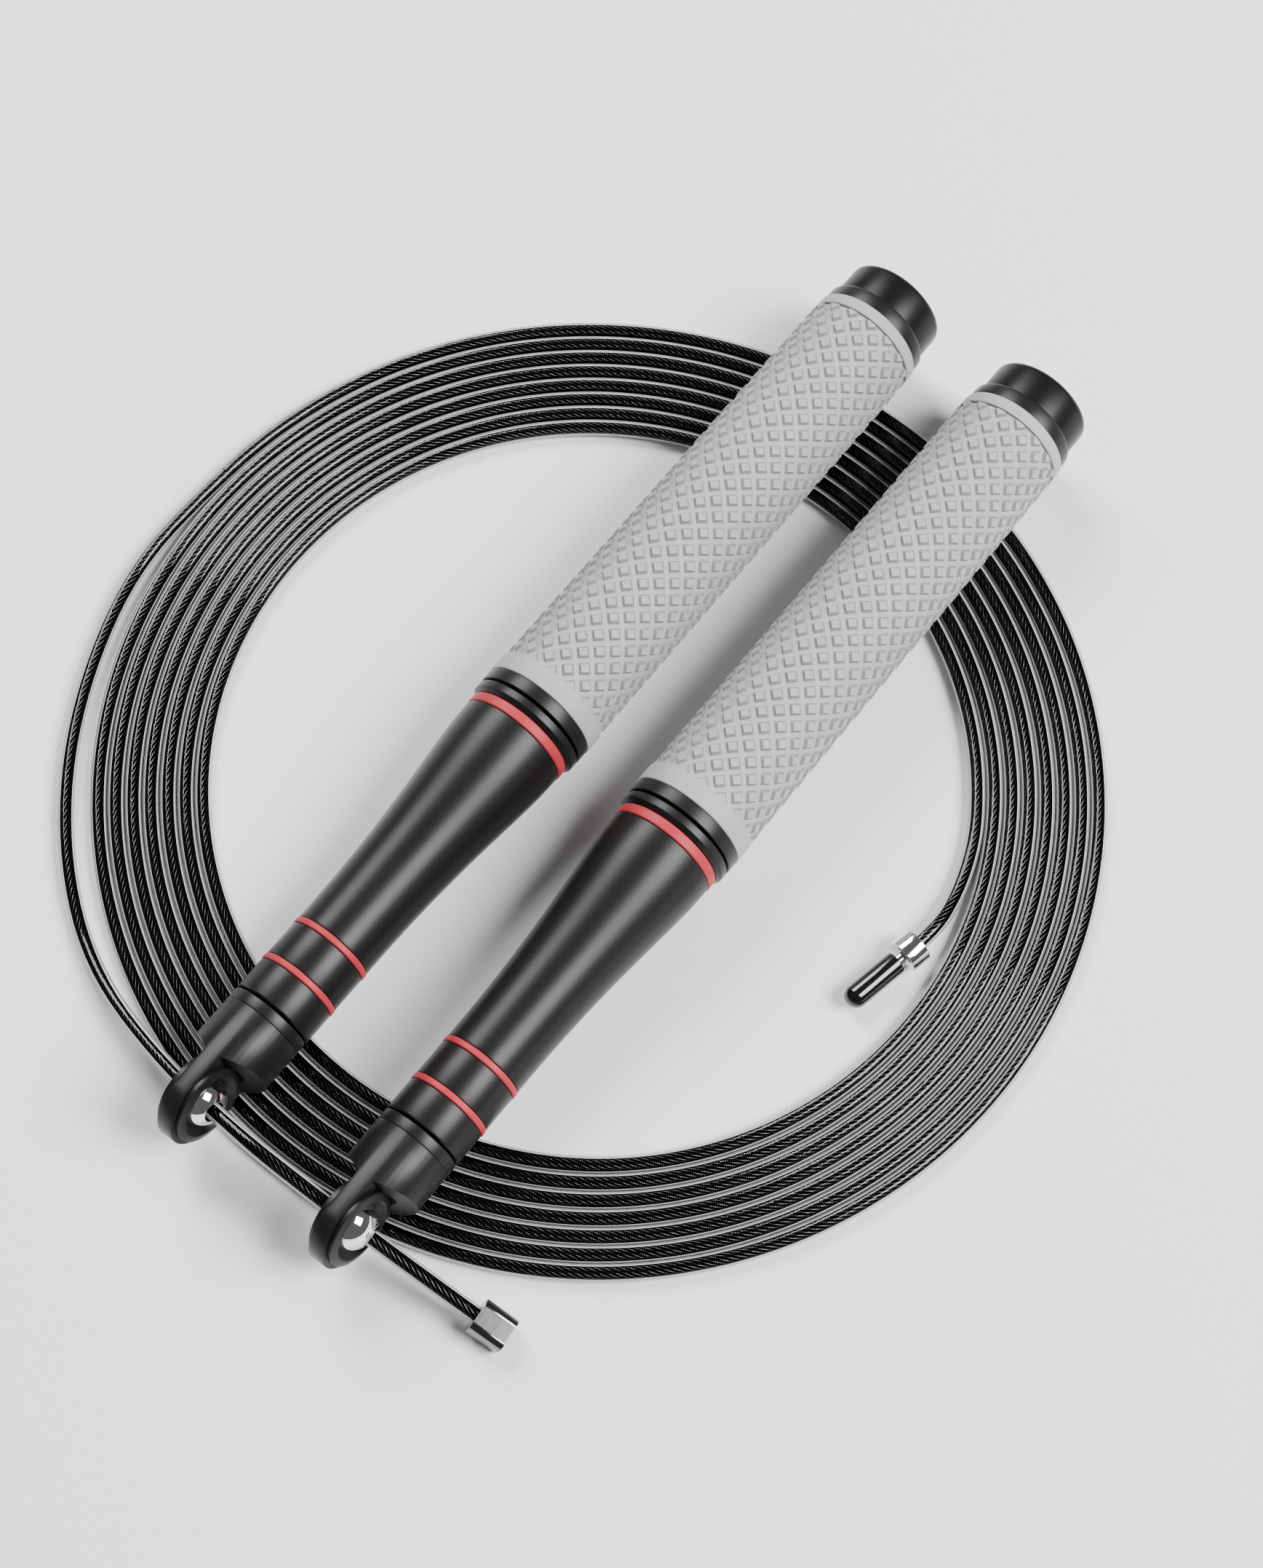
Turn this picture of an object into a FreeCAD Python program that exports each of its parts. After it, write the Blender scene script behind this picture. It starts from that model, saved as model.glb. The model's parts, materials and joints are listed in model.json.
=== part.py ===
"""Speed jump rope: a coiled steel cable with a ball-swivel handle on each side.

Two places are used. The floor frame has its origin at the coil's centre on the
floor, +Z up. A handle is modelled in its own frame: origin at the centre of its
swivel ball, +X along the handle towards the end cap, +Y along the bore of the
eye, +Z up. At the end everything moves so that the origin is the centre of the
box around the two handles.
"""
import FreeCAD, Part
import math
import os

from FreeCAD import Placement, Rotation, Vector

# ---------------------------------------------------------------- cable and coil (mm)
CABLE_D = 2.5              # steel core in its clear jacket
TURN_PITCH = 2.62          # from one turn of the coil to the next
COIL_R = 78.1              # mean radius where the first turn starts
COIL_OVAL = 1.06           # the coil is this much longer than round, along OVAL_ANGLE
OVAL_ANGLE = 100.5         # degrees
COIL_START = 141.7         # degrees, where the outermost turn begins
COIL_END = -8.0            # degrees, where the innermost turn ends
COIL_FULL_TURNS = 7        # whole turns before the last part turn
OUTLINE_POINTS = 72        # points of the coil's outline in one turn

# ---------------------------------------------------------------- how the handles lie
BALL_PLAN = {"left": (-55.3, -54.4), "right": (-33.35, -72.35)}
HANDLE_AZIMUTH = 51.8      # degrees, direction from ball to end cap
REST_GAP = 0.2             # tab and grip clear the top of the coil by this
REST_SPAN = 132.0          # from the ball to where the grip lies on the far turns
EYE_ROLL = 9.5             # degrees, the eye's bore leans up on the front side

# Direction of the cable through each ball, from the ferrule side to the coil side:
# degrees in plan, and degrees that it falls towards the outside of the pair.
BORE_PLAN = {"left": 135.0, "right": 145.5}
BORE_FALL = {"left": 17.0, "right": 15.5}
BALL_RUN = 9.0             # plan distance from a ball to the route's points beside it

# ---------------------------------------------------------------- eye and swivel head
BALL_D = 8.0
BALL_BORE_D = 3.2
SEAT_GAP = 0.05            # running clearance between ball and seat
HEAD_D = 12.7
TAB_T = 2.62               # flat tab that holds the eye
TAB_END_OFFSET = 0.55      # the tab's round end is struck this far ahead of the ball
SHOULDER_X = 5.3           # where the tab's flat meets the shoulder
SHOULDER_ANGLE = 20.7      # degrees, lean of the shoulder
HEAD_LENGTH = 13.5         # ball centre to the back of the head
BOSS_D = 12.1
BOSS_RIM_H = 0.74          # boss above the tab's flat, at its outer edge
BOSS_H = 1.1               # boss above the tab's flat, at the socket's mouth
SEAT_LIP_Y = 1.2           # half width of the spherical seat
MOUTH_D = 9.9              # bevel of the socket at the boss's face
RING_SPIGOT_D = 10.6       # socket ring inside the tab
RING_SPIGOT_END = 0.1      # the spigot stops this far before the eye's mid-plane
THREAD_GAP = 0.02          # gap left for threads, crimps and glued seats
DUST_RING_W = 1.8
SWIVEL_GAP = 0.3           # between dust ring and handle body

# ---------------------------------------------------------------- axle and bearings
AXLE_D = 4.0
AXLE_IN_HEAD = 5.0         # thread engagement in the head
BEARING_D = 9.0
BEARING_W = 4.0
RACE_WALL = 0.95
BEARING_BALL_D = 1.3
BEARING_BALLS = 8
RACE_GAP = 0.02
FRONT_LIP = 0.8            # lip of the body that stops the front bearing
FRONT_LIP_D = 7.8
BEARING_SPACING = 20.0     # between the two bearings
AXLE_HEAD_D = 6.4
AXLE_HEAD_H = 2.5
HEX_SOCKET = 2.5           # across flats
CLIP_T = 0.8
CLIP_OD = 9.8
CLIP_ID = 7.8
CLIP_MOUTH = 3.0

# ---------------------------------------------------------------- handle body and rings
NECK_D = 12.75
NECK_END = 29.5            # from the ball: end of the straight neck
FLARE_END = 69.5           # from the ball: end of the flare
FLARE_D = 17.34
FLARE_EASE = (0.56, 0.22)  # handle lengths of the flare's curve, as parts of its length
RING_PROUD = 0.12          # the rings stand above the body
RING_DEPTH = 0.8           # section of the rings, from their outer face inwards
RING_EDGE_R = 0.25
RING_SIDE_GAP = 0.08       # groove wider than its ring, each side
SLIM_RING_W = 1.05
SLIM_RING_X = (21.4, 28.35)  # from the ball
WIDE_RING_W = 1.65
WIDE_RING_X = 70.85        # from the ball
FLANGE_X = 72.05           # from the ball: start of the flange's bevel
FLANGE_BEVEL = 0.35
FLANGE_W = 1.55
FLANGE_D = 18.6
COLLAR_GAP = 0.4           # dark groove between flange and front collar
COLLAR_W = 2.1
COLLAR_D = 18.7
GRIP_D = 18.6              # over the pattern
GRIP_LENGTH = 82.3
GRIP_FRONT_D = 18.92       # smooth band at the front
GRIP_FRONT_W = 3.2
GRIP_REAR_D = 18.42        # smooth band at the rear
GRIP_REAR_W = 2.0
GRIP_GROOVE_W = 0.25       # before the rear band
GRIP_GROOVE_D = 17.9
TUBE_D = 14.8              # body under the grip
TUBE_BORE_D = 11.0
TUBE_BORE_START = 50.0     # from the ball
REAR_COLLAR_W = 2.4
REAR_COLLAR_D = 17.9
CAP_D = 16.6
CAP_LENGTH = 5.7
CAP_EDGE = 1.0             # rounded far edge
CAP_SPIGOT = 12.0
CAP_BORE_D = 7.0

# ---------------------------------------------------------------- fittings on the cable
FERRULE_L = 5.4
FERRULE_W = 5.2
FERRULE_H = 4.1
FERRULE_EDGE_R = 1.25      # along its four long edges
FERRULE_RECESS = 0.7       # the cable's end lies this far inside
STOP_D = 5.3
STOP_T = 3.2
STOP_FLOOR = 0.8           # solid end of the blind bore
NECK_PIN_D = 2.1
NECK_PIN_L = 6.0
NECK_PIN_SHOWS = 1.1       # bare stretch between stop collar and cap
SCREW_D = 1.2
BUMPER_D = 3.6
BUMPER_L = 9.7

# ---------------------------------------------------------------- route of the loose cable
# Floor frame, mm. The points beside the balls are worked out from the balls.
FERRULE_END_POINT = Vector(-12.1, -86.3, 2.2)
LEAD_POINTS = [
    Vector(-73.2, -32.6, 1.25),
    Vector(-78.5, -16.9, 1.25),
    Vector(-80.0, 1.0, 1.25),
    Vector(-77.4, 19.0, 1.25),
    Vector(-71.5, 35.7, 1.25),
]
TAIL_POINTS = [
    Vector(56.0, -14.6, 1.25),
    Vector(53.5, -20.9, 1.6),
    Vector(50.25, -26.3, 2.78),
    Vector(45.8, -30.1, 2.68),
]
ARC_SHARE = 0.45           # part of the shorter run that an arc may take

X_AXIS, Y_AXIS, Z_AXIS = Vector(1, 0, 0), Vector(0, 1, 0), Vector(0, 0, 1)
ORIGIN = Vector(0, 0, 0)


# ---------------------------------------------------------------- shared shapes
def revolved(points, axis=X_AXIS):
    """Solid of revolution about axis, from (along, radius) points."""
    side = Y_AXIS if axis == X_AXIS else X_AXIS
    wire = Part.makePolygon([axis * a + side * r for a, r in points + points[:1]])
    return Part.Face(wire).revolve(ORIGIN, axis, 360)


def tube(x0, x1, outer_d, inner_d):
    """Plain sleeve along the handle."""
    rod = Part.makeCylinder(outer_d / 2, x1 - x0, Vector(x0, 0, 0), X_AXIS)
    return rod.cut(Part.makeCylinder(inner_d / 2, x1 - x0 + 2, Vector(x0 - 1, 0, 0), X_AXIS))


def band(x, width, outer_d):
    """Flat ring centred at x, with rounded outer edges."""
    x0, x1, r, edge = x - width / 2, x + width / 2, outer_d / 2, RING_EDGE_R
    mid = edge * (1 - math.sqrt(0.5))
    return revolved([(x0, r - RING_DEPTH), (x0, r - edge), (x0 + mid, r - mid), (x0 + edge, r),
                     (x1 - edge, r), (x1 - mid, r - mid), (x1, r - edge), (x1, r - RING_DEPTH)])


def torus(x, ring_r, section_d):
    """Round-section ring about the handle's axis."""
    return Part.makeTorus(ring_r, section_d / 2, Vector(x, 0, 0), X_AXIS)


def direction(plan, rise):
    """Unit vector from a plan angle and a rise, both in degrees."""
    p, r = math.radians(plan), math.radians(rise)
    return Vector(math.cos(p) * math.cos(r), math.sin(p) * math.cos(r), math.sin(r))


def hexagon(across_flats, depth, x):
    """Hexagonal socket that is open towards +X at x."""
    corner = across_flats / math.sqrt(3)
    angles = [math.radians(60 * i) for i in range(7)]
    points = [Vector(x - depth, corner * math.cos(a), corner * math.sin(a)) for a in angles]
    return Part.Face(Part.makePolygon(points)).extrude(Vector(depth + 1, 0, 0))


# ---------------------------------------------------------------- coil
def coil_radius(travelled):
    """Radius of the cable's centre after travelling this many degrees clockwise."""
    angle = math.radians(COIL_START - travelled - OVAL_ANGLE)
    return COIL_R + COIL_OVAL * math.cos(2 * angle) - TURN_PITCH * travelled / 360


def coil_point(travelled, offset=0.0, z=0.0):
    """Point of the coil, moved outwards by offset."""
    angle = math.radians(COIL_START - travelled)
    r = coil_radius(travelled) + offset
    return Vector(r * math.cos(angle), r * math.sin(angle), z)


def coil_travel():
    """Degrees that the cable travels from the coil's start to its end."""
    return COIL_START - COIL_END + 360 * COIL_FULL_TURNS


def spiral_outline(first, offset):
    """Closed wire: one turn of the spiral from first, and the step that closes it."""
    step = 360 / OUTLINE_POINTS
    points = [coil_point(first + step * i, offset) for i in range(OUTLINE_POINTS + 1)]
    curve = Part.BSplineCurve()
    curve.interpolate(points)
    return Part.Wire([curve.toShape(), Part.makeLine(points[-1], points[0])])


def cable_coil():
    """Outer shape of the touching turns: a flat ring with a spiral step at each end."""
    outer = Part.Face(spiral_outline(0, CABLE_D / 2))
    inner = Part.Face(spiral_outline(coil_travel() - 360, -CABLE_D / 2))
    height = Vector(0, 0, CABLE_D)
    return outer.extrude(height).cut(inner.extrude(height * 3).translated(-height))


# ---------------------------------------------------------------- loose cable
def ball_centre(side):
    """Centre of a ball: the tab's round end clears the coil when its handle is lifted."""
    return Vector(*BALL_PLAN[side], CABLE_D + HEAD_D / 2 + TAB_END_OFFSET + REST_GAP)


def beside_ball(side, toward_coil):
    """Route point beside a ball, on the coil side or on the ferrule side of it."""
    outward = 1 if side == "left" else -1
    sense = 1 if toward_coil else -1
    plan = direction(BORE_PLAN[side], 0) * (sense * BALL_RUN)
    drop = -sense * outward * BALL_RUN * math.tan(math.radians(BORE_FALL[side]))
    return ball_centre(side) + plan + Vector(0, 0, drop)


def bore_direction(side):
    """Direction of the cable through a ball, towards the coil's side."""
    line = beside_ball(side, True) - beside_ball(side, False)
    return line.normalize()


def lead_route():
    """Ferrule, right ball, left ball, then along the left of the coil to its start."""
    return [
        FERRULE_END_POINT,
        beside_ball("right", False),
        beside_ball("right", True),
        beside_ball("left", False),
        beside_ball("left", True),
        *LEAD_POINTS,
        coil_point(0, 0, CABLE_D / 2),
    ]


def tail_route():
    """From the coil's inner end to the stop collar."""
    return [coil_point(coil_travel(), 0, CABLE_D / 2), *TAIL_POINTS]


def rounded_path(points):
    """Straight runs joined by tangent arcs. Returns the wire and the arcs' radii."""
    edges, radii, start = [], [], points[0]
    for before, corner, after in zip(points, points[1:], points[2:]):
        back, ahead = before - corner, after - corner
        reach = ARC_SHARE * min(back.Length, ahead.Length)
        back.normalize()
        ahead.normalize()
        half_turn = (math.pi - back.getAngle(ahead)) / 2
        radius = reach / math.tan(half_turn)
        enter, leave = corner + back * reach, corner + ahead * reach
        middle_way = (back + ahead).normalize()
        middle = corner + middle_way * (radius / math.cos(half_turn) - radius)
        edges.append(Part.LineSegment(start, enter).toShape())
        edges.append(Part.Arc(enter, middle, leave).toShape())
        radii.append(radius)
        start = leave
    edges.append(Part.LineSegment(start, points[-1]).toShape())
    return Part.Wire(edges), radii


def cable_tube(name, points):
    """Tube of the cable along a route, with its radii and volume printed."""
    path, radii = rounded_path(points)
    way = (points[1] - points[0]).normalize()
    section = Part.Wire(Part.Circle(points[0], way, CABLE_D / 2).toShape())
    solid = path.makePipeShell([section], True, False)
    expected = path.Length * math.pi * CABLE_D ** 2 / 4
    print(name, "length %.1f mm, smallest radii" % path.Length,
          ["%.1f" % r for r in sorted(radii)[:4]],
          "volume %.1f of %.1f mm3" % (solid.Volume, expected))
    return solid


# ---------------------------------------------------------------- fittings on the cable
def along(shape, start, way):
    """Place a shape made along +X so that it starts at start and runs along way."""
    plan = math.degrees(math.atan2(way.y, way.x))
    rise = math.degrees(math.asin(way.z / way.Length))
    turn = Rotation(Z_AXIS, plan).multiply(Rotation(Y_AXIS, -rise))
    placed = shape.copy()
    placed.Placement = Placement(start, turn)
    return placed


def ferrule():
    """Crimped sleeve: a block with well rounded long edges."""
    corner = Vector(0, -FERRULE_W / 2, -FERRULE_H / 2)
    block = Part.makeBox(FERRULE_L, FERRULE_W, FERRULE_H, corner)
    long_edges = [e for e in block.Edges if abs(e.tangentAt(e.FirstParameter).x) > 0.99]
    block = block.makeFillet(FERRULE_EDGE_R, long_edges)
    bore = Part.makeCylinder(CABLE_D / 2 + THREAD_GAP, FERRULE_L + 2, Vector(-1, 0, 0), X_AXIS)
    sleeve = block.cut(bore)
    way = (lead_route()[1] - lead_route()[0]).normalize()
    return along(sleeve, FERRULE_END_POINT - way * FERRULE_RECESS, way)


def tail_end():
    """End of the cable in the stop collar, and the direction out of it."""
    last_run = TAIL_POINTS[-1] - TAIL_POINTS[-2]
    return TAIL_POINTS[-1], last_run.normalize()


def stop_collar():
    """Turned collar with a blind bore for the cable and a pin for the bumper."""
    end, way = tail_end()
    depth = STOP_T - STOP_FLOOR
    body = Part.makeCylinder(STOP_D / 2, STOP_T, ORIGIN, X_AXIS)
    body = body.makeChamfer(0.25, [e for e in body.Edges if e.Curve.TypeId == "Part::GeomCircle"])
    body = body.fuse(Part.makeCylinder(NECK_PIN_D / 2, NECK_PIN_L, Vector(STOP_T, 0, 0), X_AXIS))
    bore = Part.makeCylinder(CABLE_D / 2 + THREAD_GAP, depth + 1, Vector(-1, 0, 0), X_AXIS)
    screw_hole = Part.makeCylinder(SCREW_D / 2 + THREAD_GAP, STOP_D, Vector(depth / 2, 0, 0), -Z_AXIS)
    return along(body.cut(bore).cut(screw_hole), end - way * depth, way)


def set_screw():
    """Grub screw under the stop collar that bites the cable."""
    end, way = tail_end()
    depth = STOP_T - STOP_FLOOR
    top = CABLE_D / 2 + THREAD_GAP
    length = STOP_D / 2 - top - 0.15
    screw = Part.makeCylinder(SCREW_D / 2, length, Vector(depth / 2, 0, -top), -Z_AXIS)
    return along(screw, end - way * depth, way)


def bumper():
    """Rubber bullet pushed over the stop collar's pin."""
    end, way = tail_end()
    radius = BUMPER_D / 2
    body = Part.makeCylinder(radius, BUMPER_L - radius, ORIGIN, X_AXIS)
    body = body.fuse(Part.makeSphere(radius, Vector(BUMPER_L - radius, 0, 0))).removeSplitter()
    depth = NECK_PIN_L - NECK_PIN_SHOWS
    hole = Part.makeCylinder(NECK_PIN_D / 2 + THREAD_GAP, depth + 1 + THREAD_GAP, Vector(-1, 0, 0), X_AXIS)
    return along(body.cut(hole), end + way * (STOP_FLOOR + NECK_PIN_SHOWS), way)


# ---------------------------------------------------------------- eye and swivel head
def socket_cut(sense):
    """Spherical seat and its bevel on one side of the eye, to be cut away."""
    seat = Part.makeSphere(BALL_D / 2 + SEAT_GAP)
    seat_r = math.sqrt((BALL_D / 2 + SEAT_GAP) ** 2 - SEAT_LIP_Y ** 2)
    face = TAB_T / 2 + BOSS_H
    bevel = revolved([(sense * SEAT_LIP_Y, 0), (sense * SEAT_LIP_Y, seat_r),
                      (sense * face, MOUTH_D / 2), (sense * (face + 1), MOUTH_D / 2),
                      (sense * (face + 1), 0)], Y_AXIS)
    return seat.fuse(bevel)


def boss(sense, root_y):
    """Low boss around the socket's mouth, from root_y outwards."""
    flat = TAB_T / 2
    return revolved([(sense * root_y, 0), (sense * root_y, BOSS_D / 2),
                     (sense * (flat + BOSS_RIM_H), BOSS_D / 2), (sense * (flat + BOSS_H), MOUTH_D / 2),
                     (sense * (flat + BOSS_H), 0)], Y_AXIS)


def swivel_head():
    """Turned head, milled to a tab with an eye; the back boss is one piece with it."""
    radius = HEAD_D / 2
    reach = radius + TAB_END_OFFSET
    bar = Part.makeCylinder(radius, HEAD_LENGTH + reach, Vector(-reach, 0, 0), X_AXIS)
    outline = Part.makeBox(HEAD_LENGTH + TAB_END_OFFSET, HEAD_D, HEAD_D,
                           Vector(-TAB_END_OFFSET, -radius, -radius))
    end = Part.makeCylinder(radius, HEAD_D, Vector(-TAB_END_OFFSET, -radius, 0), Y_AXIS)
    head = bar.common(end).fuse(bar.common(outline)).removeSplitter()
    lean = (radius - TAB_T / 2) * math.tan(math.radians(SHOULDER_ANGLE))
    for sense in (-1, 1):
        flat, out = sense * TAB_T / 2, sense * (radius + 1)
        corners = [Vector(-reach - 1, flat, -HEAD_D), Vector(SHOULDER_X, flat, -HEAD_D),
                   Vector(SHOULDER_X + lean, sense * radius, -HEAD_D),
                   Vector(SHOULDER_X + lean, out, -HEAD_D), Vector(-reach - 1, out, -HEAD_D)]
        pocket = Part.Face(Part.makePolygon(corners + corners[:1]))
        head = head.cut(pocket.extrude(Vector(0, 0, 2 * HEAD_D)))
    head = head.fuse(boss(1, TAB_T / 4)).cut(socket_cut(1))
    ring_bore = Part.makeCylinder(RING_SPIGOT_D / 2 + THREAD_GAP, TAB_T / 2 + 1,
                                  Vector(0, -RING_SPIGOT_END, 0), -Y_AXIS)
    spot_face = Part.makeCylinder(BOSS_D / 2 + THREAD_GAP, radius, Vector(0, -TAB_T / 2, 0), -Y_AXIS)
    ring_bore = ring_bore.fuse(spot_face)
    axle_hole = Part.makeCylinder(AXLE_D / 2, AXLE_IN_HEAD + 2,
                                  Vector(HEAD_LENGTH - AXLE_IN_HEAD - 1, 0, 0), X_AXIS)
    return head.cut(ring_bore).cut(axle_hole)


def socket_ring():
    """Threaded ring that closes the socket on the front side."""
    depth = TAB_T / 2 - RING_SPIGOT_END - THREAD_GAP
    spigot = Part.makeCylinder(RING_SPIGOT_D / 2, depth, Vector(0, -TAB_T / 2, 0), Y_AXIS)
    return boss(-1, TAB_T / 2).fuse(spigot).cut(socket_cut(-1))


def swivel_ball():
    """Ball with a bore for the cable, along Y before it is turned to the cable."""
    ball = Part.makeSphere(BALL_D / 2)
    bore = Part.makeCylinder(BALL_BORE_D / 2, BALL_D + 2, Vector(0, -BALL_D / 2 - 1, 0), Y_AXIS)
    return ball.cut(bore)


def dust_ring():
    """Narrow ring behind the head, with a boss that presses on the front bearing."""
    start = HEAD_LENGTH
    end = start + DUST_RING_W
    race_r = AXLE_D / 2 + RACE_WALL
    return revolved([(start, AXLE_D / 2 + THREAD_GAP), (start, HEAD_D / 2), (end - 0.15, HEAD_D / 2),
                     (end, HEAD_D / 2 - 0.15), (end, race_r), (bearing_starts()[0], race_r),
                     (bearing_starts()[0], AXLE_D / 2 + THREAD_GAP)])


# ---------------------------------------------------------------- axle and bearings
def body_start():
    """Front face of the handle body."""
    return HEAD_LENGTH + DUST_RING_W + SWIVEL_GAP


def bearing_starts():
    """Front faces of the two bearings."""
    first = body_start() + FRONT_LIP
    return first, first + BEARING_W + BEARING_SPACING


def axle_end():
    """Rear face of the rear bearing, where the axle screw's head sits."""
    return bearing_starts()[1] + BEARING_W


def axle_screw():
    """Screw through both bearings into the head."""
    start = HEAD_LENGTH - AXLE_IN_HEAD
    shank = Part.makeCylinder(AXLE_D / 2 - THREAD_GAP, axle_end() - start, Vector(start, 0, 0), X_AXIS)
    head = Part.makeCylinder(AXLE_HEAD_D / 2, AXLE_HEAD_H, Vector(axle_end(), 0, 0), X_AXIS)
    socket = hexagon(HEX_SOCKET, AXLE_HEAD_H * 0.6, axle_end() + AXLE_HEAD_H)
    return shank.fuse(head).cut(socket)


def axle_spacer():
    """Sleeve between the two inner races."""
    first, second = bearing_starts()
    return tube(first + BEARING_W, second, AXLE_D + 2 * RACE_WALL, AXLE_D)


def race_track(x):
    """Round groove that both races share."""
    pitch_r = (AXLE_D + BEARING_D) / 4
    return torus(x + BEARING_W / 2, pitch_r, BEARING_BALL_D + 2 * RACE_GAP)


def inner_races():
    """Inner races of both bearings."""
    races = [tube(x, x + BEARING_W, AXLE_D + 2 * RACE_WALL, AXLE_D).cut(race_track(x))
             for x in bearing_starts()]
    return Part.Compound(races)


def outer_races():
    """Outer races of both bearings."""
    races = [tube(x, x + BEARING_W, BEARING_D, BEARING_D - 2 * RACE_WALL).cut(race_track(x))
             for x in bearing_starts()]
    return Part.Compound(races)


def bearing_balls():
    """Balls of both bearings."""
    pitch_r = (AXLE_D + BEARING_D) / 4
    balls = []
    for x in bearing_starts():
        for i in range(BEARING_BALLS):
            a = 2 * math.pi * i / BEARING_BALLS
            centre = Vector(x + BEARING_W / 2, pitch_r * math.cos(a), pitch_r * math.sin(a))
            balls.append(Part.makeSphere(BEARING_BALL_D / 2, centre))
    return Part.Compound(balls)


def retaining_clip():
    """Open spring ring that holds the rear bearing in the body."""
    x = axle_end()
    ring = tube(x, x + CLIP_T, CLIP_OD, CLIP_ID)
    mouth = Part.makeBox(CLIP_T + 2, CLIP_MOUTH, CLIP_OD, Vector(x - 1, -CLIP_MOUTH / 2, 0))
    return ring.cut(mouth)


# ---------------------------------------------------------------- handle body and rings
def grip_start():
    """Front face of the grip sleeve."""
    return FLANGE_X + FLANGE_W + COLLAR_GAP + COLLAR_W


def body_end():
    """Rear face of the handle body, under the end cap."""
    return grip_start() + GRIP_LENGTH + REAR_COLLAR_W


def body_outline():
    """Closed outline of the body's outside, from front to rear."""
    neck, flare, flange, under = NECK_D / 2, FLARE_D / 2, FLANGE_D / 2, TUBE_D / 2
    length = FLARE_END - NECK_END
    poles = [Vector(NECK_END, neck, 0), Vector(NECK_END + FLARE_EASE[0] * length, neck, 0),
             Vector(FLARE_END - FLARE_EASE[1] * length, flare, 0), Vector(FLARE_END, flare, 0)]
    curve = Part.BezierCurve()
    curve.setPoles(poles)
    flange_end = FLANGE_X + FLANGE_W
    front = [(body_start(), 0), (body_start(), neck - 0.15), (body_start() + 0.15, neck), (NECK_END, neck)]
    rear = [(FLARE_END, flare), (FLANGE_X, flare), (FLANGE_X + FLANGE_BEVEL, flange),
            (flange_end, flange), (flange_end, under), (body_end(), under), (body_end(), 0),
            (body_start(), 0)]
    edges = [Part.makePolygon([Vector(x, r, 0) for x, r in side]) for side in (front, rear)]
    return Part.Wire(edges[0].Edges + [curve.toShape()] + edges[1].Edges)


def handle_body():
    """Turned tube with the flare, the ring grooves and the bearing bore."""
    body = Part.Face(body_outline()).revolve(ORIGIN, X_AXIS, 360)
    first = bearing_starts()[0]
    body = body.cut(revolved([
        (body_start() - 1, 0), (body_start() - 1, FRONT_LIP_D / 2), (first, FRONT_LIP_D / 2),
        (first, BEARING_D / 2), (TUBE_BORE_START, BEARING_D / 2),
        (TUBE_BORE_START + 1, TUBE_BORE_D / 2), (body_end() + 1, TUBE_BORE_D / 2),
        (body_end() + 1, 0)]))
    body = body.cut(tube(axle_end(), axle_end() + CLIP_T, CLIP_OD, BEARING_D - 1))
    for x in SLIM_RING_X:
        body = body.cut(ring_groove(x, SLIM_RING_W, NECK_D))
    return body.cut(ring_groove(WIDE_RING_X, WIDE_RING_W, FLARE_D))


def ring_groove(x, width, body_d):
    """Groove that takes a coloured ring, to be cut from the body."""
    inner_d = body_d + 2 * (RING_PROUD - RING_DEPTH - THREAD_GAP)
    return tube(x - width / 2 - RING_SIDE_GAP, x + width / 2 + RING_SIDE_GAP, body_d + 2, inner_d)


def slim_rings():
    """The two slim rings on the neck."""
    rings = [band(x, SLIM_RING_W, NECK_D + 2 * RING_PROUD) for x in SLIM_RING_X]
    return Part.Compound(rings)


def wide_ring():
    """The wide ring between flare and flange."""
    return band(WIDE_RING_X, WIDE_RING_W, FLARE_D + 2 * RING_PROUD)


def front_collar():
    """Ring that the grip butts against."""
    start = grip_start() - COLLAR_W
    edge = 0.25
    inner, outer = TUBE_D / 2 + THREAD_GAP, COLLAR_D / 2
    return revolved([(start, inner), (start, outer - edge), (start + edge, outer),
                     (grip_start(), outer), (grip_start(), inner)])


def grip_sleeve():
    """Silicone sleeve with a smooth band at each end."""
    start, end = grip_start(), grip_start() + GRIP_LENGTH
    band_end, rear, groove = start + GRIP_FRONT_W, end - GRIP_REAR_W, end - GRIP_REAR_W - GRIP_GROOVE_W
    inner = TUBE_D / 2 + THREAD_GAP
    return revolved([(start, inner), (start, GRIP_FRONT_D / 2), (band_end, GRIP_FRONT_D / 2),
                     (band_end, GRIP_D / 2), (groove, GRIP_D / 2), (groove, GRIP_GROOVE_D / 2),
                     (rear, GRIP_GROOVE_D / 2), (rear, GRIP_REAR_D / 2), (end, GRIP_REAR_D / 2),
                     (end, inner)])


def rear_collar():
    """Ring between grip and end cap."""
    start = grip_start() + GRIP_LENGTH
    edge = 0.4
    inner, outer = TUBE_D / 2 + THREAD_GAP, REAR_COLLAR_D / 2
    return revolved([(start, inner), (start, outer), (body_end() - edge, outer),
                     (body_end(), outer - edge), (body_end(), inner)])


def end_cap():
    """Screwed cap with a rounded far edge and a hollow spigot in the tube."""
    start = body_end()
    cap = Part.makeCylinder(CAP_D / 2, CAP_LENGTH, Vector(start, 0, 0), X_AXIS)
    far = [e for e in cap.Edges if e.Curve.TypeId == "Part::GeomCircle" and e.CenterOfMass.x > start + 1]
    cap = cap.makeFillet(CAP_EDGE, far)
    spigot_r = TUBE_BORE_D / 2 - THREAD_GAP
    spigot = Part.makeCylinder(spigot_r, CAP_SPIGOT, Vector(start - CAP_SPIGOT, 0, 0), X_AXIS)
    hollow = Part.makeCylinder(CAP_BORE_D / 2, CAP_SPIGOT + 1, Vector(start - CAP_SPIGOT - 1, 0, 0), X_AXIS)
    return cap.fuse(spigot).cut(hollow)


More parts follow.
